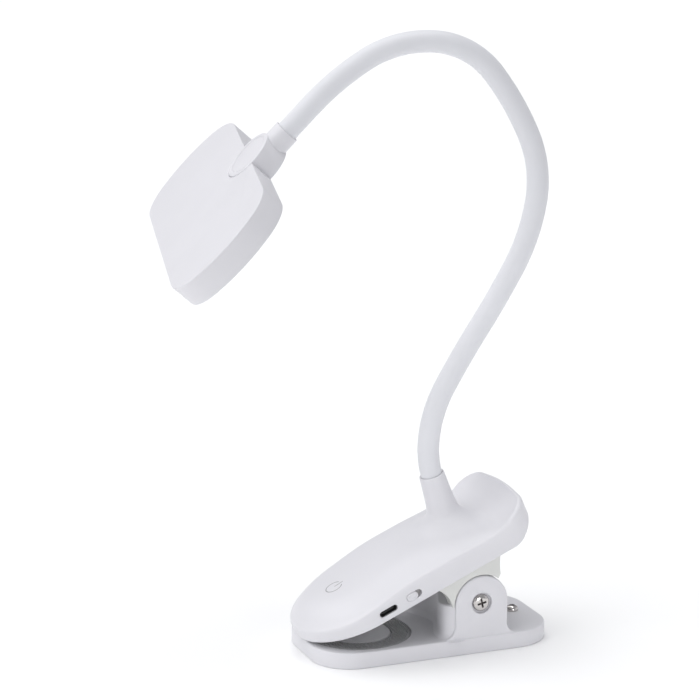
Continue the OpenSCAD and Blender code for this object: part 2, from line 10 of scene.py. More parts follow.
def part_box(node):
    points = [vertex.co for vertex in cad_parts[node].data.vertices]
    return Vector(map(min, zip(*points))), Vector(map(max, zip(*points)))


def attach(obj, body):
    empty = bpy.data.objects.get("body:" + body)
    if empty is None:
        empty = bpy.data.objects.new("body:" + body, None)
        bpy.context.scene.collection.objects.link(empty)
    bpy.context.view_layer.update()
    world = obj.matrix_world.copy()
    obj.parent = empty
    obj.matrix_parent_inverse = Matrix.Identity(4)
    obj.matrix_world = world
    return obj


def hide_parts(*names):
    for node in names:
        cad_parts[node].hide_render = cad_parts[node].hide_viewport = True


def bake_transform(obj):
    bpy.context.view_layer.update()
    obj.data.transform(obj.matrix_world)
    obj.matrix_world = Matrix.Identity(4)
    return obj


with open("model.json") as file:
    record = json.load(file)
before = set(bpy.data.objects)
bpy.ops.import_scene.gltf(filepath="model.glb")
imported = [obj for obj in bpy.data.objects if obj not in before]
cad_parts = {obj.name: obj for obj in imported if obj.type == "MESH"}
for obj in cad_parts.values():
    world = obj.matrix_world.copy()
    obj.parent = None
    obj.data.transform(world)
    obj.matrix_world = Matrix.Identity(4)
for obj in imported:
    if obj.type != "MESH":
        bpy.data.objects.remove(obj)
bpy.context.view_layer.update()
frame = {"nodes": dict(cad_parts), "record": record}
MM = 0.001
JOINTS = {joint["name"]: joint for joint in frame["record"]["behaviour"]["joints"]}
SCENE = bpy.context.scene


# ---------- camera, floor and light ----------

CAMERA_PLACE = (-0.4718, -1.1023, 0.4222)
CAMERA_YAW = 21.65       # from +Y towards +X, degrees
CAMERA_DROP = 13.37      # below the horizon, degrees
CAMERA_LENS = 140        # mm
CAMERA_SENSOR = 36       # mm
CAMERA_FAR = 20          # m


def add_camera():
    data = bpy.data.cameras.new("camera")
    data.lens = CAMERA_LENS
    data.sensor_width = CAMERA_SENSOR
    data.clip_end = CAMERA_FAR
    camera = bpy.data.objects.new("camera", data)
    camera.location = CAMERA_PLACE
    camera.rotation_euler = (math.radians(90 - CAMERA_DROP), 0, math.radians(-CAMERA_YAW))
    SCENE.collection.objects.link(camera)
    SCENE.camera = camera


# name, direction, strength, spread in degrees
SUNS = (
    ("overhead", (0.26, -0.20, -1), 2.05, 70),
    ("right_window", (-1.0, 0.25, -0.15), 0.26, 60),
    ("left_window", (0.95, 0.10, -0.32), 0.66, 60),
)
# name, place, aim, cone in degrees, power, size of the source
FILLS = (
    ("clip_fill", (0.05, -0.85, 0.08), (0.01, 0, 0.01), 26, 11.5, 0.2),
    ("mouth_fill", (-0.50, -0.70, 0.10), (-0.03, 0, 0.01), 12, 1.0, 0.2),
)
SKY_COLOUR = (0.95, 0.96, 1.0)
SKY_STRENGTH = 0.43
FLOOR_REACH = 6.0
FLOOR_COLOUR = (0.96, 0.96, 0.96)


def soft_sun(name, way, strength, spread):
    """A wide, even light that shines along a direction, as a large soft box or a window does."""
    data = bpy.data.lights.new(name, "SUN")
    data.energy = strength
    data.angle = math.radians(spread)
    light = bpy.data.objects.new(name, data)
    light.rotation_euler = Vector(way).to_track_quat("-Z", "Y").to_euler()
    SCENE.collection.objects.link(light)


def spot_fill(name, place, aim, cone, power, size):
    """A soft low light on the clip's near side."""
    data = bpy.data.lights.new(name, "SPOT")
    data.energy = power
    data.spot_size = math.radians(cone)
    data.spot_blend = 1.0
    data.shadow_soft_size = size
    light = bpy.data.objects.new(name, data)
    light.location = place
    light.rotation_euler = (Vector(aim) - Vector(place)).to_track_quat("-Z", "Y").to_euler()
    SCENE.collection.objects.link(light)


def add_studio():
    SCENE.view_settings.view_transform = "Standard"
    world = bpy.data.worlds.new("studio")
    SCENE.world = world
    world.use_nodes = True
    sky = world.node_tree.nodes["Background"]
    sky.inputs["Color"].default_value = (*SKY_COLOUR, 1)
    sky.inputs["Strength"].default_value = SKY_STRENGTH
    for sun in SUNS:
        soft_sun(*sun)
    for fill in FILLS:
        spot_fill(*fill)
    mesh = bpy.data.meshes.new("floor")
    corners = [(x * FLOOR_REACH, y * FLOOR_REACH, 0) for x, y in ((-1, -1), (1, -1), (1, 1), (-1, 1))]
    mesh.from_pydata(corners, [], [(0, 1, 2, 3)])
    floor = bpy.data.objects.new("floor", mesh)
    SCENE.collection.objects.link(floor)
    mesh.materials.append(plain_material("floor_pale", FLOOR_COLOUR, 0.8))


# ---------- materials ----------

def plain_material(name, colour, roughness, metallic=0.0):
    material = bpy.data.materials.new(name)
    material.use_nodes = True
    shader = material.node_tree.nodes["Principled BSDF"]
    shader.inputs["Base Color"].default_value = (*colour, 1)
    shader.inputs["Roughness"].default_value = roughness
    shader.inputs["Metallic"].default_value = metallic
    return material


TONE_MM = 28                   # size of the slow changes of tone
SMUDGE_MM = 9                  # size of the changes of gloss
NOISE_RANGE = (0.3, 0.7)       # where most of a noise's values lie


def surface(name, colour, roughness, metallic=0.0, grain=0.25, grain_mm=0.35, depth_mm=0.006,
            drift=0.02, rough_drift=0.06, coat=0.0, brushed=None, sheen=0.0):
    """A moulded or metal surface: fine grain, and slow changes of tone and gloss."""
    material = plain_material(name, colour, roughness, metallic)
    tree = material.node_tree
    shader = tree.nodes["Principled BSDF"]
    shader.inputs["Coat Weight"].default_value = coat
    shader.inputs["Sheen Weight"].default_value = sheen
    coords = tree.nodes.new("ShaderNodeTexCoord")

    def noise(size_mm, detail, stretch=None):
        node = tree.nodes.new("ShaderNodeTexNoise")
        node.inputs["Scale"].default_value = 1.0 / (size_mm * MM)
        node.inputs["Detail"].default_value = detail
        source = coords.outputs["Object"]
        if stretch:
            mapping = tree.nodes.new("ShaderNodeMapping")
            mapping.inputs["Scale"].default_value = stretch
            tree.links.new(source, mapping.inputs["Vector"])
            source = mapping.outputs["Vector"]
        tree.links.new(source, node.inputs["Vector"])
        return node

    def spread(node, low, high):
        """A noise's values, remapped to run from low to high."""
        remap = tree.nodes.new("ShaderNodeMapRange")
        remap.inputs["From Min"].default_value, remap.inputs["From Max"].default_value = NOISE_RANGE
        remap.inputs["To Min"].default_value = low
        remap.inputs["To Max"].default_value = high
        tree.links.new(node.outputs["Fac"], remap.inputs["Value"])
        return remap.outputs["Result"]

    slow = noise(TONE_MM, 3)
    tint = tree.nodes.new("ShaderNodeMix")
    tint.data_type = "RGBA"
    tint.inputs["A"].default_value = (*[c * (1 - drift) for c in colour], 1)
    tint.inputs["B"].default_value = (*[min(1, c * (1 + drift)) for c in colour], 1)
    tree.links.new(spread(slow, 0, 1), tint.inputs["Factor"])
    tree.links.new(tint.outputs["Result"], shader.inputs["Base Color"])
    smudge = noise(SMUDGE_MM, 4)
    low = max(0.02, roughness - rough_drift)
    tree.links.new(spread(smudge, low, roughness + rough_drift), shader.inputs["Roughness"])
    fine = noise(grain_mm, 2, brushed)
    bump = tree.nodes.new("ShaderNodeBump")
    bump.inputs["Strength"].default_value = grain
    bump.inputs["Distance"].default_value = depth_mm * MM
    tree.links.new(fine.outputs["Fac"], bump.inputs["Height"])
    tree.links.new(bump.outputs["Normal"], shader.inputs["Normal"])
    return material


WHITE = surface("white_plastic", (0.70, 0.695, 0.725), 0.42, grain=0.35, depth_mm=0.008, drift=0.01,
                rough_drift=0.03)
COVER = surface("cover_plastic", (0.68, 0.685, 0.665), 0.45, grain=0.35, depth_mm=0.008)
SILICONE = surface("silicone", (0.70, 0.705, 0.735), 0.55, grain=0.3, grain_mm=0.5, depth_mm=0.01,
                   sheen=0.15)
# painted light: the grip rubber is lighter than its own grey, to make up for the light that doesn't reach
# under the jaw
RUBBER = surface("grip_rubber", (0.42, 0.42, 0.43), 0.62, grain=0.6, grain_mm=0.25, depth_mm=0.02,
                 drift=0.12)
CHROME = surface("chrome", (0.60, 0.575, 0.56), 0.14, 1.0, grain=0.15, grain_mm=0.2, depth_mm=0.003)
# painted shade: the dark brown-grey of the screws' cross recesses stands in for the shade inside them
RECESS = surface("screw_recess_painted_shade", (0.16, 0.145, 0.14), 0.35, 0.8, grain=0.2)
STEEL = surface("spring_steel", (0.42, 0.42, 0.43), 0.32, 1.0, grain=0.4, grain_mm=0.3, depth_mm=0.01,
                brushed=(1, 1, 8))
# painted shade: black on the socket's liner and tongue stands in for the shaded inside of its steel shell
DARK = surface("socket_painted_shade", (0.012, 0.012, 0.013), 0.45, grain=0.3)
# painted shade: the grey floor of the switch's slot stands in for the shade in the slot
SHADE = surface("slot_floor_painted_shade", (0.30, 0.29, 0.29), 0.55, grain=0.3)
# painted shade: the grey of the power symbol's lines stands in for the shade in its engraved grooves
GROOVE_SHADE = surface("power_groove_painted_shade", (0.30, 0.30, 0.31), 0.5, grain=0.2)
OPAL = surface("opal_panel", (0.86, 0.86, 0.84), 0.30, grain=0.15, grain_mm=0.6, depth_mm=0.006, drift=0.008,
               rough_drift=0.02, coat=0.2)
LABEL = surface("foil", (0.62, 0.62, 0.64), 0.35, 0.8, grain=0.4)
CIRCUIT = surface("circuit", (0.03, 0.16, 0.07), 0.4, grain=0.4, drift=0.1)


# ---------- mesh helpers ----------

SMOOTH_ANGLE = 32     # degrees, above which an edge is sharp
HOUSING_ANGLE = 40    # the same, for the upper jaw's flowing shell
WELD = 1e-6           # points closer than this are one
TINY = 1e-5           # radius that closes a lathe's profile on its axis
NO_GAP = 1e-7         # ends of arcs closer than this already meet


def shade(mesh, angle=SMOOTH_ANGLE):
    mesh.polygons.foreach_set("use_smooth", [True] * len(mesh.polygons))
    mesh.set_sharp_from_angle(angle=math.radians(angle))


def finish_mesh(obj, material, angle=SMOOTH_ANGLE):
    """Welds, points the normals out and shades smooth up to an angle."""
    work = bmesh.new()
    work.from_mesh(obj.data)
    bmesh.ops.remove_doubles(work, verts=work.verts, dist=WELD)
    bmesh.ops.dissolve_degenerate(work, edges=work.edges, dist=WELD)
    bmesh.ops.recalc_face_normals(work, faces=work.faces)
    work.to_mesh(obj.data)
    work.free()
    shade(obj.data, angle)
    obj.data.materials.clear()
    obj.data.materials.append(material)
    return obj


def add_mesh(name, points, faces, material, angle=SMOOTH_ANGLE):
    mesh = bpy.data.meshes.new(name)
    mesh.from_pydata([tuple(p) for p in points], [], faces)
    obj = bpy.data.objects.new(name, mesh)
    SCENE.collection.objects.link(obj)
    return finish_mesh(obj, material, angle)


def loft(name, rings, material, matrix=None, angle=SMOOTH_ANGLE, capped=True, wrap=False):
    """A skin through closed rings that all have the same number of points."""
    rings = np.asarray(rings, float)
    count, size = rings.shape[:2]
    faces = []
    for r in range(count if wrap else count - 1):
        a, b = r * size, ((r + 1) % count) * size
        for i in range(size):
            j = (i + 1) % size
            faces.append((a + i, a + j, b + j, b + i))
    if capped and not wrap:
        faces.append(tuple(range(size - 1, -1, -1)))
        faces.append(tuple(range((count - 1) * size, count * size)))
    return moved(add_mesh(name, rings.reshape(-1, 3), faces, material, angle), matrix)


def moved(obj, matrix):
    if matrix is not None:
        obj.data.transform(matrix)
    return obj


def join(objs):
    """Joins meshes into the first one."""
    work = bmesh.new()
    for obj in objs:
        work.from_mesh(obj.data)
    work.to_mesh(objs[0].data)
    work.free()
    for obj in objs[1:]:
        bpy.data.objects.remove(obj, do_unlink=True)
    shade(objs[0].data)
    return objs[0]


def combine(obj, tool, operation="DIFFERENCE", angle=SMOOTH_ANGLE):
    """Applies a boolean with a tool that is then deleted."""
    modifier = obj.modifiers.new("cut", "BOOLEAN")
    modifier.operation = operation
    modifier.solver = "EXACT"
    modifier.object = tool
    depsgraph = bpy.context.evaluated_depsgraph_get()
    mesh = bpy.data.meshes.new_from_object(obj.evaluated_get(depsgraph))
    material = obj.data.materials[0]
    obj.modifiers.clear()
    obj.data = mesh
    bpy.data.objects.remove(tool, do_unlink=True)
    return finish_mesh(obj, material, angle)


def full_turn(sides):
    return np.arange(sides) * 2 * math.pi / sides


def lathe(name, profile, material, matrix=None, sides=96, wrap=False):
    """A profile of (radius, height) points turned round Z."""
    angles = full_turn(sides)
    circle = np.stack([np.cos(angles), np.sin(angles)], 1)
    rings = [np.column_stack([circle * max(radius, TINY), np.full(sides, height)])
             for radius, height in profile]
    return loft(name, rings, material, matrix, wrap=wrap)


def in_metres(pairs):
    return [(first * MM, second * MM) for first, second in pairs]


def outline(arcs, step=1.2 * MM):
    """Points and outward normals of a closed outline: arcs (x, y, radius, from, to), joined by straight
    lines. An arc whose angle falls is hollow, so its outward side is towards its middle."""
    points, normals = [], []

    def end_of(arc, which):
        angle = math.radians(arc[which])
        return np.array([arc[0] + arc[2] * math.cos(angle), arc[1] + arc[2] * math.sin(angle)])

    for number, arc in enumerate(arcs):
        x, y, radius, first, last = arc
        side = 1 if last > first else -1
        count = max(3, int(math.ceil(abs(math.radians(last - first)) * radius / step)))
        for angle in np.radians(np.linspace(first, last, count + 1)):
            way = np.array([math.cos(angle), math.sin(angle)])
            points.append(np.array([x, y]) + radius * way)
            normals.append(side * way)
        here = end_of(arc, 4)
        gap = end_of(arcs[(number + 1) % len(arcs)], 3) - here
        length = np.linalg.norm(gap)
        if length > NO_GAP:
            way = gap / length
            steps = int(length / step)
            for k in range(1, steps):
                points.append(here + gap * k / steps)
                normals.append(np.array([way[1], -way[0]]))
        else:
            points.pop()
            normals.pop()
    return np.array(points), np.array(normals)


def inset_ring(shape, inset, height):
    points, normals = shape
    flat = points - normals * inset
    return np.column_stack([flat, np.broadcast_to(height, (len(flat),))])


def low_edge(radius, height, count, way=1):
    """(inset, height) pairs up round a wall's bottom edge."""
    angles = np.radians(np.linspace(0, 90, count))[::way]
    return [(radius * (1 - math.sin(a)), height + way * radius * (1 - math.cos(a))) for a in angles]


def high_edge(radius, height, count):
    """(inset, height) pairs up round a wall's top edge."""
    return low_edge(radius, height, count, -1)


def rise(name, shape, profile, material, matrix=None):
    """A solid whose wall follows (inset, height) pairs up from an outline."""
    rings = [inset_ring(shape, inset, height) for inset, height in profile]
    return loft(name, rings, material, matrix)


EDGE_COUNT = 5        # rings round a rounded edge


def slab_solid(name, shape, low, high, round_low, round_high, material, matrix=None):
    """A flat plate with rounded edges, from an outline."""
    profile = low_edge(round_low, low, EDGE_COUNT) + high_edge(round_high, high, EDGE_COUNT)
    return rise(name, shape, profile, material, matrix)


def even_slab(name, shape, thick, soft, material, matrix=None):
    """A flat plate centred on z = 0, with both edges rounded alike."""
    return slab_solid(name, shape, -thick / 2, thick / 2, soft, soft, material, matrix)


def stadium(length, height):
    """Outline, from sizes in millimetres, of a slot with round ends along x."""
    r = height * MM / 2
    half = length * MM / 2 - r
    return outline([(half, 0, r, -90, 90), (-half, 0, r, 90, 270)], step=0.25 * MM)


def axes_matrix(origin, x_axis, y_axis, z_axis):
    columns = [(*x_axis, 0), (*y_axis, 0), (*z_axis, 0), (*origin, 1)]
    return Matrix(columns).transposed()


def smooth_curve(points):
    """A smooth function through (x, value) points."""
    xs = np.array([p[0] for p in points], float)
    ys = np.array([p[1] for p in points], float)
    slopes = np.gradient(ys, xs)

    def value(x):
        x = np.clip(x, xs[0], xs[-1])
        k = np.clip(np.searchsorted(xs, x) - 1, 0, len(xs) - 2)
        h = xs[k + 1] - xs[k]
        t = (x - xs[k]) / h
        return (ys[k] * (2 * t ** 3 - 3 * t ** 2 + 1) + slopes[k] * h * (t ** 3 - 2 * t ** 2 + t)
                + ys[k + 1] * (3 * t ** 2 - 2 * t ** 3) + slopes[k + 1] * h * (t ** 3 - t ** 2))

    return value


def ring_round(point, way, side, radius, angles):
    """A round ring of points square to a direction, counted from one side of it."""
    other = np.cross(way, side)
    return [point + radius * (math.cos(a) * side + math.sin(a) * other) for a in angles]


WIRE_SIDES = 16
WIRE_SIDE = (0.3, 0.9, 0.1)    # a direction that no wire starts along


def wire(name, path, radius, material):
    """A closed round wire along a path of points."""
    path = np.asarray(path, float)
    ways = np.gradient(path, axis=0)
    ways /= np.linalg.norm(ways, axis=1)[:, None]
    side = np.cross(ways[0], WIRE_SIDE)
    rings = []
    for point, way in zip(path, ways):
        side = side - way * side.dot(way)
        side /= np.linalg.norm(side)
        rings.append(ring_round(point, way, side, radius, full_turn(WIRE_SIDES)))
    return loft(name, rings, material)


def finished(obj, body, slot, *nodes):
    """Says what a piece moves with and hides the parts of the design that it stands for; its slot, which
    names what it is made of, is not used.
    """
    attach(obj, body)
    if nodes:
        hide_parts(*nodes)


RECESS_SHARE = 0.62   # reach of a screw's cross, as a share of the head's radius
BAR_SHARE = 0.2       # half the width of the cross's bars, as a share of its reach


def cross_cutter(reach, depth, top):
    """The tapered cross of a screw's recess, point down."""
    half = BAR_SHARE * reach
    bars = []
    for turn in (0, 90):
        rings = []
        for height, share in ((top - depth, 0.45), (top - depth * 0.3, 0.85), (top + depth, 1.15)):
            a, b = reach * share, half * (0.7 + 0.3 * share)
            rings.append([(-a, -b, height), (a, -b, height), (a, b, height), (-a, b, height)])
        bars.append(loft(f"bar_{turn}", rings, DARK, Matrix.Rotation(math.radians(turn), 4, "Z")))
    return combine(bars[0], bars[1], "UNION")


def screw_head(name, radius, height, matrix, shank_r, shank_l):
    """Pan head with a cross recess whose faces are painted dark as shade, on z = 0, with its shank below."""
    profile = [(0, -shank_l), (shank_r * 0.8, -shank_l), (shank_r, -shank_l + shank_r * 0.3), (shank_r, 0)]
    profile += [(radius * 0.97, 0), (radius, height * 0.08), (radius, height * 0.3)]
    profile += [(radius * math.cos(a) ** 0.75, height * (0.3 + 0.7 * math.sin(a)))
                for a in np.radians(np.linspace(8, 90, 10))]
    obj = lathe(name, profile, CHROME, sides=64)
    reach = radius * RECESS_SHARE
    obj = combine(obj, cross_cutter(reach, height * 0.75, height))
    # the faces inside the cross get the painted shade
    obj.data.materials.append(RECESS)
    for face in obj.data.polygons:
        middle = face.center
        inside = math.hypot(middle.x, middle.y) < reach * 1.06 and middle.z > height * 0.2
        if inside and (face.normal.z < 0.7 or middle.z < height * 0.6):
            face.material_index = 1
    return moved(obj, matrix)


# ---------- places ----------

PIVOT = np.array(JOINTS["clip_hinge"]["pos_m"])
SLIDE = np.array(JOINTS["switch_slide"]["axis"])
JAW = axes_matrix(PIVOT, SLIDE, (0, 1, 0), np.cross(SLIDE, (0, 1, 0)))
BASE_LOW, BASE_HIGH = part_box("base_frame")
BASE_L = BASE_HIGH[0] - BASE_LOW[0]
BASE_W = BASE_HIGH[1] - BASE_LOW[1]
PAD_LOW, PAD_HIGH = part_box("lower_grip_pad")
PLATE_T = PAD_HIGH[2]


# ---------- lower jaw ----------

PLATE_FRONT_R = 18.5 * MM
PLATE_HEEL_R = 19.5 * MM
EAR_R = 13.0 * MM
EAR_OUT = BASE_W / 2 - 0.7 * MM
EAR_IN = EAR_OUT - 5.8 * MM
EAR_FRONT_FOOT = 6.0 * MM
EAR_REAR_FOOT = 5.0 * MM
PAD_MIDDLE = (PAD_LOW[0] + PAD_HIGH[0]) / 2
PAD_HALF = ((PAD_HIGH[0] - PAD_LOW[0]) / 2, (PAD_HIGH[1] - PAD_LOW[1]) / 2)
PAD_BAND = 8.5 * MM            # width of a grip pad's ring
PAD_GROOVE = 1.4 * MM          # depth of the groove it sits in
PIN_R = 2.0 * MM               # both pivots' screws
PIN_BORE_R = 2.1 * MM
PIN_BORE_SIDES = 48
SCREW_DEPTH = 1.7 * MM         # foot of the hinge screw's head, inside the near ear's face
NUT_DEPTH = 3.1 * MM           # foot of the hinge nut, inside the far ear's face


def oval(half_x, half_y, middle_x):
    """A round shape stretched across the jaw."""
    stretch = half_y - half_x
    return outline([(middle_x, -stretch, half_x, 180, 360), (middle_x, stretch, half_x, 0, 180)])


def groove_tool(middle_x, height, depth):
    """The tool for a grip pad's ring-shaped groove."""
    gap = 0.45 * MM
    outer = oval(PAD_HALF[0] + gap, PAD_HALF[1] + gap, middle_x)
    inner = oval(PAD_HALF[0] - PAD_BAND - 2 * gap, PAD_HALF[1] - PAD_BAND - 2 * gap, middle_x)
    ring = slab_solid("groove", outer, height - depth, height + 3 * MM, 0, 0, WHITE)
    island = slab_solid("island", inner, height - 2 * depth, height + 5 * MM, 0, 0, WHITE)
    return combine(ring, island)


def ear_shape():
    """Side view of an ear, in X and Z, with its feet on the plate."""
    x, z = PIVOT[0], PIVOT[2]
    face, floor = PLATE_T - 0.04 * MM, PLATE_T - 2.2 * MM
    front, rear = x - EAR_R, x + EAR_R
    return outline([
        (front - EAR_FRONT_FOOT, face + EAR_FRONT_FOOT, EAR_FRONT_FOOT, 0, -90),
        (front - EAR_FRONT_FOOT, floor, 0.1 * MM, 180, 270),
        (rear + EAR_REAR_FOOT, floor, 0.1 * MM, 270, 360),
        (rear + EAR_REAR_FOOT, face + EAR_REAR_FOOT, EAR_REAR_FOOT, 270, 180),
        (x, z, EAR_R, 0, 180),
    ], step=1.0 * MM)


def side_matrix(y):
    """Stands a shape drawn in x and y up in X and Z, at that y."""
    return axes_matrix((0, y, 0), (1, 0, 0), (0, 0, 1), (0, -1, 0))


def ear_matrix(sign, depth=0.0):
    """On the hinge line, that deep inside an ear's outer face, with z outwards."""
    return axes_matrix((PIVOT[0], sign * (EAR_OUT - depth), PIVOT[2]), (1, 0, 0), (0, 0, -sign), (0, sign, 0))


WALL_HALF = 22.0 * MM          # half the wall's width between its round ends
WALL_MIDDLE_X = 8.0 * MM
WALL_END_X = 1.3 * MM
WALL_REAR_X = 13.0 * MM
WALL_TOP = 23.6 * MM


def wall_shape():
    """Plan of the curved wall between the ears, whose ends round off into the ears' front edges."""
    round_r = EAR_OUT - WALL_HALF - 1.0 * MM
    depth = WALL_MIDDLE_X - WALL_END_X
    points, normals = [], []

    def add_round_end(y, first, last):
        for a in np.radians(np.linspace(first, last, 14)):
            way = np.array([math.cos(a), math.sin(a)])
            points.append(np.array([WALL_END_X + round_r, y]) + way * round_r)
            normals.append(way)

    add_round_end(-WALL_HALF, 270, 180)
    for y in np.linspace(-WALL_HALF, WALL_HALF, 60)[1:-1]:
        share = 0.5 + 0.5 * math.cos(math.pi * y / WALL_HALF)
        slope = -depth * 0.5 * math.sin(math.pi * y / WALL_HALF) * math.pi / WALL_HALF
        points.append(np.array([WALL_END_X + depth * share, y]))
        normals.append(np.array([-1, slope]) / math.hypot(1, slope))
    add_round_end(WALL_HALF, 180, 90)
    for y in np.linspace(WALL_HALF + round_r, -WALL_HALF - round_r, 30):
        points.append(np.array([WALL_REAR_X, y]))
        normals.append(np.array([0.0, 0.0]))
    return np.array(points)[::-1], np.array(normals)[::-1]


def make_base():
    half_l, half_w = BASE_L / 2, BASE_W / 2
    middle = (BASE_LOW[0] + BASE_HIGH[0]) / 2
    front_x, heel_x = middle - half_l + PLATE_FRONT_R, middle + half_l - PLATE_HEEL_R
    front_y, heel_y = half_w - PLATE_FRONT_R, half_w - PLATE_HEEL_R
    plate_shape = outline([
        (front_x, front_y, PLATE_FRONT_R, 90, 180), (front_x, -front_y, PLATE_FRONT_R, 180, 270),
        (heel_x, -heel_y, PLATE_HEEL_R, 270, 360), (heel_x, heel_y, PLATE_HEEL_R, 0, 90)])
    base = slab_solid("lower_jaw", plate_shape, 0, PLATE_T, 0.6 * MM, 0.75 * MM, WHITE)
    base = combine(base, groove_tool(PAD_MIDDLE, PLATE_T, PAD_GROOVE))
    for sign in (-1, 1):
        ear = even_slab("ear", ear_shape(), EAR_OUT - EAR_IN, 0.9 * MM, WHITE,
                        side_matrix(sign * (EAR_OUT + EAR_IN) / 2))
        base = combine(base, ear, "UNION")
    # the wall's foot is hollow, so it flares out
    foot_r, foot_z = 3.5 * MM, PLATE_T - 0.4 * MM
    profile = [(-inset, height) for inset, height in low_edge(foot_r, foot_z, 8)]
    profile += high_edge(1.0 * MM, WALL_TOP, 5)
    base = combine(base, rise("wall", wall_shape(), profile, WHITE), "UNION")
    recess_r, recess_d, lip, above = 4.95 * MM, 1.9 * MM, 0.35 * MM, 2 * MM
    cutter = [(0, -recess_d), (recess_r, -recess_d), (recess_r, -lip)]
    cutter += [(recess_r + lip * (1 - math.cos(a)), -lip + lip * math.sin(a))
               for a in np.radians(np.linspace(15, 90, 4))]
    cutter += [(recess_r + lip, above), (0, above)]
    base = combine(base, lathe("recess", cutter, WHITE, ear_matrix(-1), sides=64))
    pocket_r, pocket_d = 4.35 * MM, 3.2 * MM
    hexagon = [(pocket_r, -pocket_d), (pocket_r, above)]
    base = combine(base, lathe("pocket", hexagon, WHITE, ear_matrix(1), sides=6))
    bore = [(PIN_BORE_R, -BASE_W), (PIN_BORE_R, above)]
    base = combine(base, lathe("bore", bore, WHITE, ear_matrix(-1), sides=PIN_BORE_SIDES))
    heel_low, heel_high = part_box("heel_screw")
    spot = Matrix.Translation(((heel_low[0] + heel_high[0]) / 2, 0, PLATE_T))
    shank_r, shank_l = 1.5 * MM, 4.2 * MM
    dish = [(0, -1 * MM), (shank_r, -1 * MM), (shank_r, 1 * MM), (0, 1 * MM)]
    base = combine(base, lathe("screw_hole", dish, WHITE, spot, sides=32))
    finished(base, "base", "white_plastic", "base_frame")
    turn = Matrix.Rotation(math.radians(20), 4, "Z")
    screw = screw_head("heel_screw_head", 3.0 * MM, 2.6 * MM, spot @ turn, shank_r, shank_l)
    finished(screw, "base", "chrome", "heel_screw")


RIB_PITCH = 1.5 * MM
RIB_WIDTH = 0.95 * MM
RIB_MARGIN = 0.3 * MM          # from a rib's ends to the pad's edges
RIB_LEAN = 0.25 * MM           # how far a rib's ends lean in


def ribbed_pad(name, middle_x):
    """A rubber ring with fine ribs across the jaw, its face on z = 0."""
    inner_half = (PAD_HALF[0] - PAD_BAND, PAD_HALF[1] - PAD_BAND)
    low, floor, crest = -PAD_GROOVE + 0.05 * MM, -0.25 * MM, 0.12 * MM
    outer = slab_solid(name, oval(PAD_HALF[0], PAD_HALF[1], middle_x), low, floor, 0, 0.25 * MM, RUBBER)
    hole = slab_solid("hole", oval(*inner_half, middle_x), low - MM, floor + MM, 0, 0, RUBBER)
    body = combine(outer, hole)
    foot, shoulder = floor - 0.1 * MM, crest - 0.06 * MM
    section = ((-0.5, foot), (-0.32, shoulder), (0, crest), (0.32, shoulder), (0.5, foot))
    size = len(section)
    points, faces = [], []

    def reach(half, x, margin):
        """How far an oval set in by a margin reaches across at x."""
        r = half[0] - margin
        if abs(x) >= r:
            return None
        return half[1] - half[0] + math.sqrt(r * r - x * x)

    count = int(PAD_HALF[0] / RIB_PITCH)
    for k in range(-count, count + 1):
        x = k * RIB_PITCH
        edges = (x - RIB_WIDTH / 2, x + RIB_WIDTH / 2)
        far = [reach(PAD_HALF, edge, RIB_MARGIN) for edge in edges]
        if None in far:
            continue
        far = min(far)
        near = [reach(inner_half, edge, -RIB_MARGIN) for edge in edges]
        near = max([n for n in near if n is not None], default=None)
        spans = [(-far, far)] if near is None else [(-far, -near), (near, far)]
        for start, end in spans:
            if end - start < RIB_WIDTH:
                continue
            base = len(points)
            for y, slope in ((start, 1), (end, -1)):
                for share, z in section:
                    lean = RIB_LEAN * slope if z > floor else 0
                    points.append((middle_x + x + share * RIB_WIDTH, y + lean, z))
            faces += [(base + i, base + i + 1, base + i + size + 1, base + i + size) for i in range(size - 1)]
            faces.append(tuple(range(base + size - 1, base - 1, -1)))
            faces.append(tuple(range(base + size, base + 2 * size)))
            faces.append((base + size - 1, base, base + size, base + 2 * size - 1))
    return join([body, add_mesh("ribs", points, faces, RUBBER)])


def make_base_details():
    pad = moved(ribbed_pad("lower_pad", PAD_MIDDLE), Matrix.Translation((0, 0, PLATE_T)))
    finished(pad, "base", "grey_rubber", "lower_grip_pad")
    near = ear_matrix(-1, SCREW_DEPTH) @ Matrix.Rotation(math.radians(12), 4, "Z")
    screw = screw_head("hinge_screw_head", 4.0 * MM, 1.75 * MM, near, PIN_R, 2 * EAR_OUT - 3.6 * MM)
    finished(screw, "base", "chrome", "hinge_screw")
    hexagon = [(2.05, 0), (3.9, 0), (4.2, 0.35), (4.2, 2.3), (3.8, 2.6), (2.4, 2.6), (2.05, 2.3)]
    nut = lathe("hinge_nut_hex", in_metres(hexagon), STEEL, ear_matrix(1, NUT_DEPTH), sides=6, wrap=True)
    finished(nut, "base", "steel", "hinge_nut")


COIL_R = 5.6 * MM
WIRE_R = 0.9 * MM
COIL_TURNS = 4.6
COIL_PITCH = 1.04              # in wire thicknesses
TURN_STEPS = 40
LOWER_LEG_L = 17 * MM
UPPER_LEG_L = 9 * MM
LEG_SINK = 0.4 * MM            # how far inside the coil's end the upper leg starts


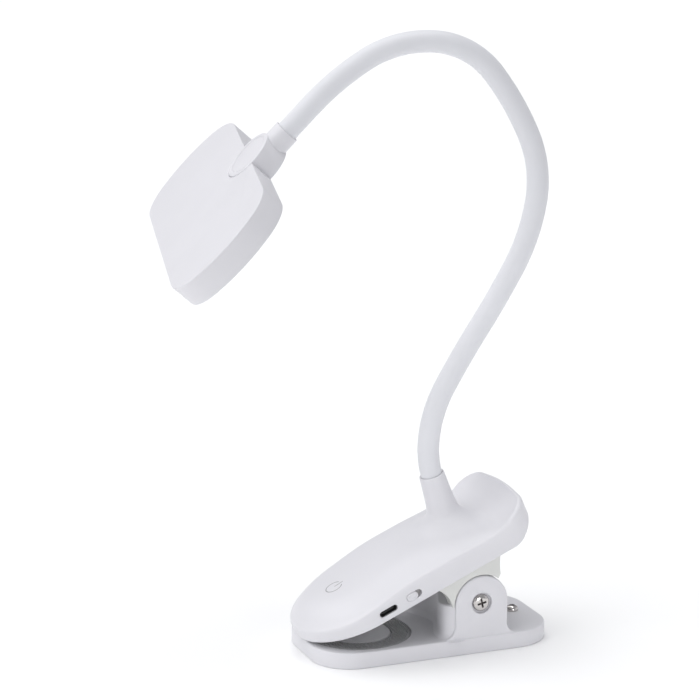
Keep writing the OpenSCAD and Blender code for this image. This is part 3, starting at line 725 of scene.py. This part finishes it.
def make_spring():
    """The coil and its lower leg stay with the lower jaw, and its upper leg moves with the upper."""
    length = 2 * WIRE_R * COIL_PITCH * COIL_TURNS
    steps = int(COIL_TURNS * TURN_STEPS)
    path = []
    for k in range(steps + 1):
        a = math.radians(-90) + 2 * math.pi * COIL_TURNS * k / steps
        path.append((PIVOT[0] + COIL_R * math.cos(a), -length / 2 + length * k / steps,
                     PIVOT[2] + COIL_R * math.sin(a)))
    way = Vector((1, 0, -0.14)).normalized()
    leg = [tuple(Vector(path[0]) + way * d) for d in np.linspace(LOWER_LEG_L, 1 * MM, 12)]
    coil = wire("spring_coil", leg + path, WIRE_R, STEEL)
    finished(coil, "base", "steel", "torsion_spring")
    end = Vector(path[-1])
    run = (end - Vector(path[-2])).normalized()
    upper = [tuple(end - run * LEG_SINK + run * d) for d in np.linspace(0, UPPER_LEG_L, 8)]
    finished(wire("spring_leg", upper, WIRE_R, STEEL), "upper_jaw", "steel")


# ---------- upper jaw, drawn level in millimetres round the hinge line ----------

NOSE_U = -47.0
NOSE_R = 31.0
HEEL_U = 26.7
HEEL_R = 12.4
HEEL_Y = NOSE_R - HEEL_R
JAW_LOW = 17.1
LIFT_START = 25.5
LIFT_RUN = 14.6
LIFT_POWER = 1.4
LIFT_HEIGHT = 8.6
SEAM = (9.9, 55.6)             # middle of the collar's rim
COLLAR_LEAN = math.radians(5.5)
COLLAR_DROP = 26.0             # from the seam down to the roof
COLLAR_RIM_R = 5.85
SOCKET_R = 5.06                # the hole the sleeve stands in, at both its ends
EDGE_HEIGHT = smooth_curve([
    (-78, 21.0), (-70, 21.5), (-62, 22.1), (-54, 23.2), (-45.5, 24.5), (-38, 25.6), (-30, 26.5), (-10, 26.8),
    (14, 27.1), (19, 27.8), (24, 29.5), (30, 32.7), (36, 36.0), (40, 37.8), (43, 38.8)])
CROWN = smooth_curve([
    (-78, 12.0), (-70, 10.0), (-62, 8.3), (-54, 7.1), (-47, 6.5), (-34, 6.2), (-10, 6.3), (6, 5.0), (14, 2.7),
    (20, 0.6), (26, -1.7), (31, -3.1), (36, -2.8), (40, -0.4), (43, 0)])
CROWN_POWER = 3.9
TOP_EDGE_R = 1.8
LOW_EDGE_R = 0.7
UNDER_RIM_W = 1.8              # width and depth of the rim round the jaw's cover
UNDER_RIM_D = 1.5


def jaw_shape():
    """Plan of the upper jaw: a round nose, and a heel that bulges by a millimetre between its corners."""
    points, normals = outline([(NOSE_U, 0, NOSE_R, 90, 270), (HEEL_U, -HEEL_Y, HEEL_R, 270, 360),
                               (HEEL_U, HEEL_Y, HEEL_R, 0, 90)], step=1.5)
    points[:, 0] += np.clip(1 - (points[:, 1] / HEEL_Y) ** 2, 0, 1) * (points[:, 0] > HEEL_U)
    return points, normals


def heel_lift(u):
    """How far the jaw's underside sweeps up under the thumb rest."""
    return np.clip((u - LIFT_START) / LIFT_RUN, 0, 1) ** LIFT_POWER * LIFT_HEIGHT


def top_height(u, y):
    """Height of the jaw's upper surface."""
    radial = np.where(u < NOSE_U, np.hypot(u - NOSE_U, y), np.abs(y))
    share = np.clip(radial / NOSE_R, 0, 1)
    return EDGE_HEIGHT(u) + CROWN(u) * (1 - share ** CROWN_POWER)


def collar_ring(angles, radius, drop, blend):
    """One ring of the neck's collar: round its leaning axis at the top, and level once blend is 1."""
    cos, sin = np.cos(angles), np.sin(angles)
    u0 = SEAM[0] - drop * math.sin(COLLAR_LEAN)
    w0 = SEAM[1] - drop * math.cos(COLLAR_LEAN)
    lean = COLLAR_LEAN * (1 - blend)
    u = u0 + radius * cos * math.cos(lean)
    y = radius * sin
    w = w0 - radius * cos * math.sin(lean)
    return u, y, w


def jaw_rings():
    """Rings of the upper jaw's skin, from inside the collar's rim down to its underside."""
    points, normals = jaw_shape()
    angles = np.arctan2(points[:, 1], points[:, 0] - (SEAM[0] - COLLAR_DROP * math.sin(COLLAR_LEAN)))
    rings = []

    def add(u, y, w):
        rings.append(np.column_stack([u, y, w]) * MM)

    rim = ((SOCKET_R, 1.2), (SOCKET_R, 0.25), (SOCKET_R + 0.2, 0.0), (COLLAR_RIM_R - 0.25, 0.0),
           (COLLAR_RIM_R - 0.05, 0.12), (COLLAR_RIM_R + 0.02, 0.4))
    stem = ((6.05, 3), (6.25, 6), (6.5, 10), (6.85, 14))
    for radius, drop in rim + stem:
        add(*collar_ring(angles, radius, drop, 0))
    stem_r, flare_r, flare_h = 7.25, 12.8, 9.0
    blend_steps = 9
    for step, a in enumerate(np.radians(np.linspace(0, 90, 15))):
        radius = stem_r + flare_r * (1 - math.cos(a)) ** 0.9
        above = flare_h * (1 - math.sin(a))
        blend = min(1.0, (step + 1) / blend_steps)
        u, y, w = collar_ring(angles, radius, COLLAR_DROP - above, blend)
        on_roof = top_height(u, y) + above
        add(u, y, w * (1 - blend) + on_roof * blend)
    last = rings[-1] / MM
    target = points - normals * TOP_EDGE_R
    for t in np.linspace(0, 1, 34)[1:]:
        u = last[:, 0] * (1 - t) + target[:, 0] * t
        y = last[:, 1] * (1 - t) + target[:, 1] * t
        add(u, y, top_height(u, y))
    edge_w = top_height(target[:, 0], target[:, 1])
    for a in np.radians([25, 45, 65, 90]):
        flat = points - normals * TOP_EDGE_R * (1 - math.sin(a))
        add(flat[:, 0], flat[:, 1], edge_w - TOP_EDGE_R * (1 - math.cos(a)))
    low = JAW_LOW + heel_lift(points[:, 0])
    wall_top = edge_w - TOP_EDGE_R
    for t in (0.33, 0.66):
        add(points[:, 0], points[:, 1], wall_top * (1 - t) + (low + LOW_EDGE_R) * t)
    for a in np.radians([90, 60, 30, 0]):
        flat = points - normals * LOW_EDGE_R * (1 - math.sin(a))
        add(flat[:, 0], flat[:, 1], low + LOW_EDGE_R * (1 - math.cos(a)))
    flat = points - normals * UNDER_RIM_W
    add(flat[:, 0], flat[:, 1], low)
    add(flat[:, 0], flat[:, 1], low + UNDER_RIM_D)
    return rings


def wall_matrix(u, w):
    """Places a shape on the jaw's near wall, with z outwards."""
    return axes_matrix((u * MM, -NOSE_R * MM, w * MM), (1, 0, 0), (0, 0, 1), (0, -1, 0))


# place along the jaw, height, length and height of the opening, and its depth
PORT = (-41.8, 21.2, 9.2, 2.9, 7.5)
SLOT = (-28.1, 21.7, 7.9, 3.7, 1.7)
POWER_U = -53.6
POWER_R = 3.9
# width of the power symbol's lines of painted groove shade
GROOVE_SHADE_W = 0.42


def side_cutter(u, w, length, height, depth):
    """A slot tool through the near wall of the jaw, with a slightly rounded rim."""
    flare = 0.18 * MM
    profile = [(0, -depth * MM), (0, -flare)]
    profile += [(-flare * (1 - math.cos(a)), -flare + flare * math.sin(a)) for a in np.radians([30, 60, 90])]
    profile.append((-flare, 2 * MM))
    return rise("slot", stadium(length, height), profile, WHITE, wall_matrix(u, w))


def make_upper_housing():
    housing = loft("upper_jaw_shell", jaw_rings(), WHITE, angle=HOUSING_ANGLE)
    for opening in (PORT, SLOT):
        housing = combine(housing, side_cutter(*opening), angle=HOUSING_ANGLE)
    finished(moved(housing, JAW), "upper_jaw", "white_plastic", "upper_housing")


def groove_shade_line(name, centre_line):
    """A thin grey line on the roof, along a path of (u, y) points: painted shade that stands in for the shade
    in an engraved groove.
    """
    path = np.array(centre_line, float)
    ways = np.gradient(path, axis=0)
    ways /= np.linalg.norm(ways, axis=1)[:, None]
    side = np.column_stack([-ways[:, 1], ways[:, 0]])
    rows = []
    section = ((-0.5, -0.05), (-0.5, 0.02), (-0.3, 0.035), (0.3, 0.035), (0.5, 0.02), (0.5, -0.05))
    for share, lift in section:
        flat = path + side * GROOVE_SHADE_W * share
        rows.append(np.column_stack([flat, top_height(flat[:, 0], flat[:, 1]) + lift]) * MM)
    return loft(name, np.stack(rows, 1), GROOVE_SHADE, JAW)


def make_power_symbol():
    # the engraved power symbol, drawn as lines of painted shade
    ring = [(POWER_U + POWER_R * math.cos(a), POWER_R * math.sin(a))
            for a in np.radians(np.linspace(26, 334, 64))]
    bar = [(POWER_U + d, 0) for d in np.linspace(0.4, 5.0, 12)]
    symbol = join([groove_shade_line("power_ring", ring), groove_shade_line("power_bar", bar)])
    finished(symbol, "upper_jaw", "print", "power_symbol")


def make_port_and_switch():
    in_port = wall_matrix(*PORT[:2])
    in_slot = wall_matrix(*SLOT[:2])
    profile = [(0, -6.8), (0, -0.5), (0.1, -0.4), (0.3, -0.4), (0.35, -0.5), (0.35, -6.0)]
    # the liner and tongue are black as painted shade for the shaded inside of the steel socket
    port = rise("port_shell", stadium(8.6, 2.4), in_metres(profile), DARK, in_port)
    corners = ((1, -1, -90), (1, 1, 0), (-1, 1, 90), (-1, -1, 180))
    arcs = [(s * 3.0 * MM, t * 0.25 * MM, 0.1 * MM, a, a + 90) for s, t, a in corners]
    tongue = slab_solid("tongue", outline(arcs, step=0.3 * MM), -6.2 * MM, -1.3 * MM, 0, 0.1 * MM, DARK,
                        in_port)
    finished(moved(join([port, tongue]), JAW), "upper_jaw", "chrome", "usb_c_socket")
    travel = JOINTS["switch_slide"]["range_m"][1] / MM
    profile = [(0, -1.55), (0, 0.05), (0.08, 0.18), (0.25, 0.25), (0.5, 0.25), (0.62, 0.18), (0.75, 0.02),
               (1.0, -0.05)]
    place = wall_matrix(SLOT[0] - travel / 2, SLOT[1])
    knob = rise("switch_button", stadium(5.6, 3.4), in_metres(profile), WHITE, place)
    finished(moved(knob, JAW), "switch", "white_plastic", "switch_knob")
    # the slot's floor is grey as painted shade
    floor_shape = stadium(SLOT[2] - 0.1, SLOT[3] - 0.1)
    bottom = -SLOT[4] * MM
    floor = slab_solid("switch_floor", floor_shape, bottom, bottom + 0.1 * MM, 0, 0, SHADE, in_slot)
    finished(moved(floor, JAW), "upper_jaw", "steel", "slide_switch")


def skirt_shape():
    """Side panel of the jaw's cover beside the hinge, hollowed over the ear's round top."""
    radius = EAR_R / MM + 0.5
    top = JAW_LOW + 0.4
    first, last = 31.0, 156.0
    return outline([
        (-16.2, top - 0.3, 0.3, 90, 180),
        (-24.5, 8.2, 11.4, 35, -8),
        (-12.85, 5.3, 0.45, 200, 340),
        (0, 0, radius, last, first),
        (11.96, 7.18, 0.45, 230, 345),
        (44.8, 0.6, 32.0, 166.0, 149.2),
        (16.9, top - 0.3, 0.3, 0, 90),
    ], step=0.7)


COVER_TOP = 18.7
COVER_INSETS = (12.5, 11, 9.5, 8, 6.5, 5, 3.7)
SKIRT_T = 5.6 * MM
LUG_T = 4.6 * MM
LUG_R = 8.0
LUG_MIDDLE = EAR_IN - 2.8 * MM
UPPER_PAD_MIDDLE = PAD_MIDDLE - 7 * MM
# hangs a shape drawn standing on z = 0 under the jaw
UNDER_JAW = Matrix.Translation((0, 0, JAW_LOW * MM)) @ Matrix.Diagonal((1, 1, -1, 1))


def hung(obj, matrix):
    """Moves a shape by a matrix that mirrors it, and keeps its faces pointing out."""
    obj.data.transform(matrix)
    obj.data.flip_normals()
    return obj


def make_jaw_cover():
    points, normals = jaw_shape()
    profile = [(inset, JAW_LOW) for inset in COVER_INSETS]
    profile += [(2.4, JAW_LOW), (2.05, 17.25), (1.95, 17.5), (1.95, COVER_TOP)]
    profile += [(inset, COVER_TOP) for inset in reversed(COVER_INSETS)]
    plate = []
    for inset, height in profile:
        flat = points - normals * inset
        plate.append(np.column_stack([flat[:, 0], flat[:, 1], height + heel_lift(flat[:, 0])]) * MM)
    cover = loft("jaw_cover_plate", plate, COVER)
    cover = combine(cover, hung(groove_tool(UPPER_PAD_MIDDLE, 0, PAD_GROOVE * 0.75), UNDER_JAW))
    finished(moved(cover, JAW), "upper_jaw", "cover_plastic", "jaw_cover")
    points, normals = skirt_shape()
    lug_top, lug_foot = JAW_LOW + 0.2, LUG_R + 2.6
    lug_points, lug_normals = outline([(0, 0, LUG_R, 180, 360), (lug_foot, lug_top, 0.3, 0, 90),
                                       (-lug_foot, lug_top, 0.3, 90, 180)], step=1.0)
    for sign, side in ((-1, "near"), (1, "far")):
        skirt = even_slab(f"skirt_{side}", (points * MM, normals), SKIRT_T, 0.22 * MM, COVER,
                          JAW @ side_matrix(sign * (EAR_OUT + EAR_IN) / 2))
        finished(skirt, "upper_jaw", "cover_plastic")
        lug = even_slab(f"lug_{side}", (lug_points * MM, lug_normals), LUG_T, 0.5 * MM, COVER,
                        JAW @ side_matrix(sign * LUG_MIDDLE))
        finished(lug, "upper_jaw", "cover_plastic")
    pad = hung(ribbed_pad("upper_pad", UPPER_PAD_MIDDLE), JAW @ UNDER_JAW)
    finished(pad, "upper_jaw", "grey_rubber", "upper_grip_pad")


# ---------- neck ----------

def neck_path():
    """The neck's joints, and the direction along the neck at each, worked out link by link: each link
    is an arc, so the direction at its end is the direction at its start mirrored in its chord."""
    names = [name for name in JOINTS if name.startswith("neck_")]
    places = [np.array(JOINTS[name]["pos_m"]) for name in names]
    ways = [np.array([0.0, 0.0, 1.0])]
    for here, there in zip(places, places[1:]):
        chord = (there - here) / np.linalg.norm(there - here)
        ways.append(2 * ways[-1].dot(chord) * chord - ways[-1])
    return names, places, ways


NECK_NAMES, NECK_PLACES, NECK_WAYS = neck_path()
TUBE_R = 4.98 * MM
LINK_L = 31.5 * MM
SLEEVE_SIDES = 48
SLEEVE_SINK = 0.8 * MM         # how far the sleeve runs into the collar and the knuckle
LINK_STEPS = 28
FIRST_STEPS = 12
LAST_STEPS = 14
STRAIGHT = 1e-4                # radians; an arc that turns less is a straight line
COLLAR_SEAM = np.array(JAW @ Vector((SEAM[0] * MM, 0, SEAM[1] * MM)))
COLLAR_WAY = np.array(JAW.to_3x3() @ Vector((math.sin(COLLAR_LEAN), 0, math.cos(COLLAR_LEAN))))
NECK_END = NECK_PLACES[-1] + NECK_WAYS[-1] * LINK_L / 2


def arc_points(start, start_way, end, end_way, count):
    """Points and directions along the arc from start to end."""
    turn = math.acos(max(-1, min(1, float(start_way.dot(end_way)))))
    result = []
    for t in np.linspace(0, 1, count + 1):
        if turn < STRAIGHT:
            result.append((start + (end - start) * t, start_way))
            continue
        a = turn * t
        side = (end_way - start_way * math.cos(turn)) / math.sin(turn)
        radius = np.linalg.norm(end - start) / (2 * math.sin(turn / 2))
        point = start + radius * (math.sin(a) * start_way + (1 - math.cos(a)) * side)
        result.append((point, math.cos(a) * start_way + math.sin(a) * side))
    return result


def make_neck():
    """The silicone sleeve: one stretch per joint, from mid-link to mid-link."""
    stations = list(zip(NECK_PLACES, NECK_WAYS))
    first = COLLAR_SEAM - COLLAR_WAY * SLEEVE_SINK
    last = NECK_END + NECK_WAYS[-1] * SLEEVE_SINK
    segments = [arc_points(first, COLLAR_WAY, *stations[0], FIRST_STEPS)]
    segments += [arc_points(*here, *there, LINK_STEPS) for here, there in zip(stations, stations[1:])]
    segments.append(arc_points(*stations[-1], last, NECK_WAYS[-1], LAST_STEPS))
    across = np.cross(NECK_WAYS[3], NECK_WAYS[7])      # square to the plane of the neck's main bend
    across /= np.linalg.norm(across)
    angles = full_turn(SLEEVE_SIDES)
    for k in range(len(NECK_NAMES)):
        before, after = segments[k], segments[k + 1]
        start = before if k == 0 else before[len(before) // 2:]
        end = after if k == len(NECK_NAMES) - 1 else after[:len(after) // 2 + 1]
        rings = []
        for point, way in start[:-1] + end:
            side = across - way * across.dot(way)
            side /= np.linalg.norm(side)
            rings.append(ring_round(point, way, side, TUBE_R, angles))
        skin = loft(f"neck_skin_{k + 1}", rings, SILICONE, capped=False)
        place, way = NECK_PLACES[k], NECK_WAYS[k]
        nodes = [f"neck_sleeve_{k + 1}", f"neck_core_{k + 1}"]
        if k == 0:
            nodes += ["neck_sleeve_0", "neck_core_0"]
        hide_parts(*nodes)
        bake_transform(skin)


# ---------- head: x runs on from the neck, z towards the light side ----------

HEAD_Z = Vector(JOINTS["head_swivel"]["axis"]).normalized()
HEAD_X = Vector(NECK_WAYS[-1]).normalized()
HEAD = axes_matrix(NECK_END, HEAD_X, HEAD_Z.cross(HEAD_X), HEAD_Z)
SWIVEL_X = (Vector(JOINTS["head_swivel"]["pos_m"]) - Vector(NECK_END)).dot(HEAD_X) / MM
HEAD_L = 58.5
HEAD_W = 140.0
HEAD_T = 12.0
SIDE_R = 46.2
CORNER_R = 19.0
NOTCH_R = 12.75
KNUCKLE_R = 12.45
RIM_W = 3.2
LIGHT_START = 17.5
PANEL_STEP = 0.05              # points closer than this are left out
HEAD_TOP = -HEAD_T / 2         # the back
HEAD_LOW = HEAD_T / 2          # the lit side
SHELL_RIM = 1.5                # width of the shell's edge round the bezel
NOTCH_LIP = 0.8
TONGUE_HALF = 5.7


def head_shape(notch=True):
    """Plan of the head in millimetres: shallow arcs at both ends, round corners, and the knuckle's notch."""
    side = SIDE_R - CORNER_R
    cx = HEAD_L / 2 - CORNER_R
    arc_y = HEAD_W / 2 - SIDE_R
    corner_y = arc_y + math.sqrt(side * side - cx * cx)
    lean = math.degrees(math.asin(cx / side))
    x = SWIVEL_X + HEAD_L / 2
    arcs = []
    if notch:
        lip = NOTCH_LIP
        lip_y = math.sqrt((NOTCH_R + lip) ** 2 - lip ** 2)
        turn = math.degrees(math.atan2(lip_y, lip))
        arcs += [(SWIVEL_X + lip, lip_y, lip, 180, 180 + turn), (SWIVEL_X, 0, NOTCH_R, turn, -turn),
                 (SWIVEL_X + lip, -lip_y, lip, 180 - turn, 180)]
    arcs += [(x - cx, -corner_y, CORNER_R, 180, 270 - lean), (x, -arc_y, SIDE_R, 270 - lean, 270 + lean),
             (x + cx, -corner_y, CORNER_R, 270 + lean, 360), (x + cx, corner_y, CORNER_R, 0, 90 - lean),
             (x, arc_y, SIDE_R, 90 - lean, 90 + lean), (x - cx, corner_y, CORNER_R, 90 + lean, 180)]
    return outline(arcs, step=1.6)


def light_shape(inset):
    """Plan of the light panel: the head's outline, set in, and cut straight along its near side."""
    points, normals = head_shape(notch=False)
    points = points - normals * (RIM_W + inset)
    points[:, 0] = np.maximum(points[:, 0], SWIVEL_X + LIGHT_START + inset)
    kept = [points[0]]
    for point in points[1:]:
        if np.linalg.norm(point - kept[-1]) > PANEL_STEP:
            kept.append(point)
    return np.array(kept)


def flat_rings(points, heights):
    return [np.column_stack([points, np.full(len(points), height)]) * MM for height in heights]


def make_head():
    points, normals = head_shape()
    shape = (points * MM, normals)
    soft, low, rim = 0.5, HEAD_LOW, SHELL_RIM
    profile = low_edge(soft, HEAD_TOP, 6) + [(0, -2), (0, 2)] + high_edge(soft, low, 6)
    profile += [(rim, low), (rim + 0.1, low - 0.1), (rim + 0.1, low - 1.2)]
    shell = rise("head_shell_skin", shape, in_metres(profile), WHITE, HEAD)
    finished(shell, "head", "white_plastic", "head_shell")
    profile = [(rim + 0.2, low - 1.4), (rim + 0.2, low - 0.15), (rim + 0.35, low)]
    bezel = rise("head_light_frame", shape, in_metres(profile), WHITE)
    window = loft("window", flat_rings(light_shape(0.0), (low - 0.9, low + 1)), WHITE)
    finished(moved(combine(bezel, window), HEAD), "head", "white_plastic", "head_bezel")
    pane_rings = flat_rings(light_shape(0.12), (low - 0.9, low - 0.35))
    pane_rings += flat_rings(light_shape(0.5), (low - 0.2,))
    pane = loft("light_panel", pane_rings, OPAL, HEAD)
    finished(pane, "head", "opal", "diffuser")


def make_knuckle():
    top, low = HEAD_TOP, HEAD_LOW
    spin = Matrix.Translation((SWIVEL_X * MM, 0, 0))
    profile = [(0, top + 0.15), (10.3, top + 0.15), (10.5, top + 0.05)]
    profile += [(11.35 + 1.1 * math.cos(a), top + 0.3 - 0.55 * math.sin(a))
                for a in np.radians(np.linspace(150, 0, 14))]
    profile += [(KNUCKLE_R, low - 0.7)]
    profile += [(KNUCKLE_R - 0.5 * (1 - math.cos(a)), low - 0.6 + 0.5 * math.sin(a))
                for a in np.radians(np.linspace(15, 90, 5))]
    profile += [(4.6, low - 0.1), (4.3, low - 0.3), (4.3, low - 1.5), (0, low - 1.5)]
    body = lathe("knuckle_shell", in_metres(profile), WHITE, spin, sides=128)
    outer_r, end = 6.0, SWIVEL_X - 4
    ferrule = [(SOCKET_R, 0.8), (SOCKET_R, 0.2), (5.2, 0), (5.7, 0), (5.9, 0.1), (outer_r, 0.35),
               (outer_r, end), (0, end)]
    along = Matrix.Rotation(math.radians(90), 4, "Y")
    body = combine(body, lathe("ferrule", in_metres(ferrule), WHITE, along), "UNION")
    # room for the tongue as it swings 45 degrees each way
    inner, reach, slot_half = 7, 16.0, 2.35
    limit = math.radians(45) + 0.42
    fan = [(SWIVEL_X + inner * math.cos(a), inner * math.sin(a))
           for a in np.linspace(math.pi * 0.75, math.pi * 1.25, 9)]
    fan += [(SWIVEL_X + reach * math.cos(a), reach * math.sin(a)) for a in np.linspace(-limit, limit, 24)]
    body = combine(body, loft("fan", flat_rings(np.array(fan), (-slot_half, slot_half)), WHITE))
    finished(moved(body, HEAD), "knuckle", "white_plastic", "knuckle_body")
    cap = [(0, top - 0.05), (9.6, top - 0.05), (9.85, top), (10.0, top + 0.12), (10.0, top + 0.6),
           (0, top + 0.6)]
    disc = lathe("knuckle_disc", in_metres(cap), WHITE, HEAD @ spin)
    finished(disc, "knuckle", "white_plastic", "knuckle_cap")
    foot = HEAD @ Matrix.Translation((SWIVEL_X * MM, 0, (low - 1.5) * MM))
    pin = screw_head("swivel_screw", 3.4 * MM, 1.1 * MM, foot, PIN_R, 9.4 * MM)
    finished(pin, "knuckle", "steel", "swivel_pin")
    root = SWIVEL_X + NOTCH_R + 3
    points, normals = outline([(SWIVEL_X, 0, 6.0, 90, 270), (root, -TONGUE_HALF, 0.3, 270, 360),
                               (root, TONGUE_HALF, 0.3, 0, 90)], step=0.8)
    tongue = even_slab("head_tongue", (points * MM, normals), 4 * MM, 0.3 * MM, WHITE)
    bore = [(PIN_BORE_R, -5 * MM), (PIN_BORE_R, 5 * MM)]
    tongue = combine(tongue, lathe("bore", bore, WHITE, spin, sides=PIN_BORE_SIDES))
    finished(moved(tongue, HEAD), "head", "white_plastic")


# ---------- what stays from the design, with its finish ----------

def dress_nodes():
    """Gives the pieces that stay from the design their materials."""
    finishes = {
        "base_weight": STEEL, "base_cover": COVER, "base_cover_screws": CHROME, "jaw_cover_screws": CHROME,
        "battery_pack": LABEL, "main_board": CIRCUIT, "touch_electrode": CHROME, "neck_nut": STEEL,
        "friction_washer": STEEL, "light_guide": OPAL, "reflector_sheet": OPAL, "led_strip": CIRCUIT,
        "head_screws": CHROME,
    }
    for name, material in finishes.items():
        obj = frame["nodes"][name]
        if not obj.material_slots:
            obj.data.materials.append(material)
        for slot in obj.material_slots:
            slot.material = material


add_camera()
add_studio()
make_base()
make_base_details()
make_spring()
make_upper_housing()
make_power_symbol()
make_port_and_switch()
make_jaw_cover()
make_neck()
make_head()
make_knuckle()
dress_nodes()
